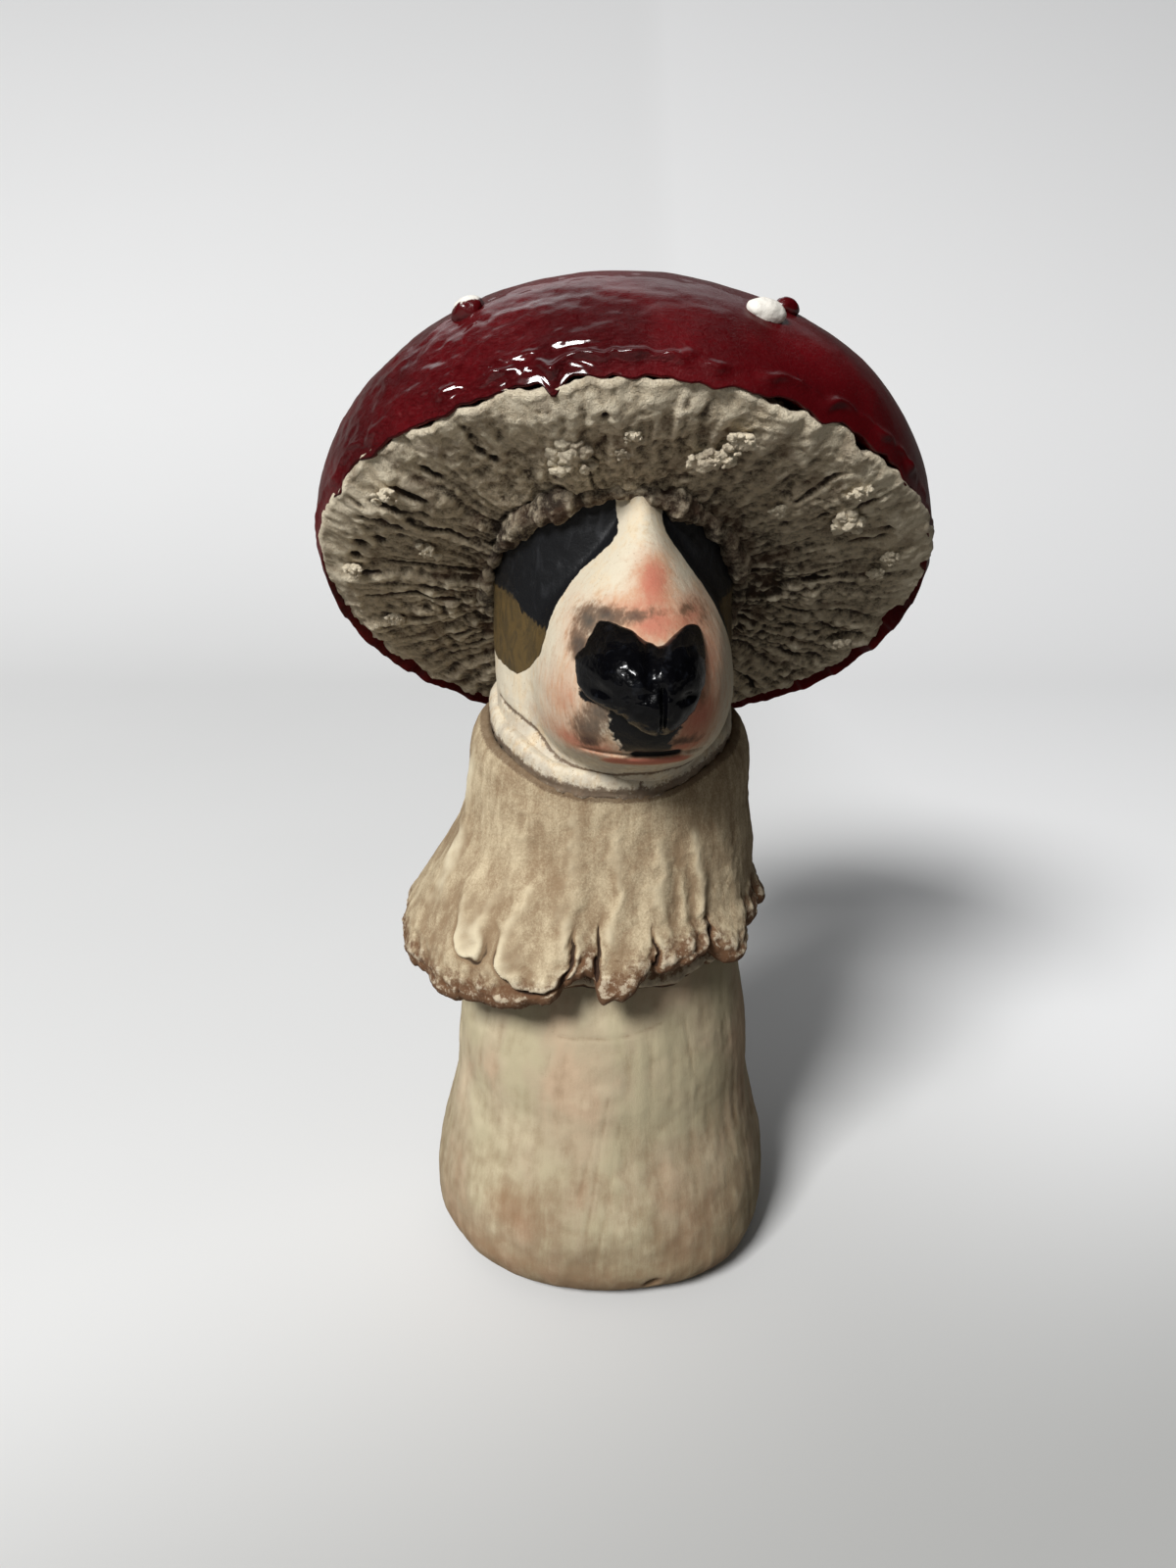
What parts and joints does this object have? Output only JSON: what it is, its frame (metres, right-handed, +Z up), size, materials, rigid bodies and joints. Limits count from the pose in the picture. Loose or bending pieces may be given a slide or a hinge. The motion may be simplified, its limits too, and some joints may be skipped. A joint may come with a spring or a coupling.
{
  "type": "mushroom ornament",
  "caption": "Hand-built ceramic mushroom ornament: a tricolour dog's muzzle looks out from under its tilted red cap, above a fingered skirt and a bulbous hollow stem.",
  "frame": {"origin": "centre of the flat underside of the foot", "axes": "+Z up; the muzzle looks along -Y; +X is the viewer's right in front of the muzzle"},
  "size_m": [0.115, 0.1065, 0.1945],
  "materials": {
    "stem_clay": "matt, scratched",
    "skirt_clay": "matt, brown wash",
    "band_paint": "satin",
    "head_paint": "satin, painted",
    "muzzle_paint": "satin, painted",
    "chin_paint": "satin, painted",
    "nose_gloss": "high gloss",
    "gill_clay": "matt, brown wash",
    "crumb_clay": "matt",
    "cap_paint": "gloss paint",
    "wart_paint": "gloss paint"
  },
  "bodies": {
    "root": {"foot_slab": "stem_clay", "foot_seam_coil": "stem_clay", "stem_wall": "stem_clay", "skirt": "skirt_clay", "skirt_underlayer": "skirt_clay", "neck_band": "band_paint", "head_tube": "head_paint", "muzzle": "muzzle_paint", "lower_jaw": "chin_paint", "nose": "nose_gloss", "joint_packing": "gill_clay", "gill_plate": "gill_clay", "gill_crumbs": "crumb_clay", "socket_coil": "gill_clay", "cap_dome": "cap_paint", "wart_front_left": "wart_paint", "wart_front_right": "wart_paint", "wart_right_neighbour": "wart_paint", "wart_left_flank": "wart_paint", "wart_right_flank": "wart_paint", "wart_crown_left": "wart_paint", "wart_crown_right": "wart_paint", "wart_back_left": "wart_paint", "wart_back_right": "wart_paint"}
  },
  "joints": []
}
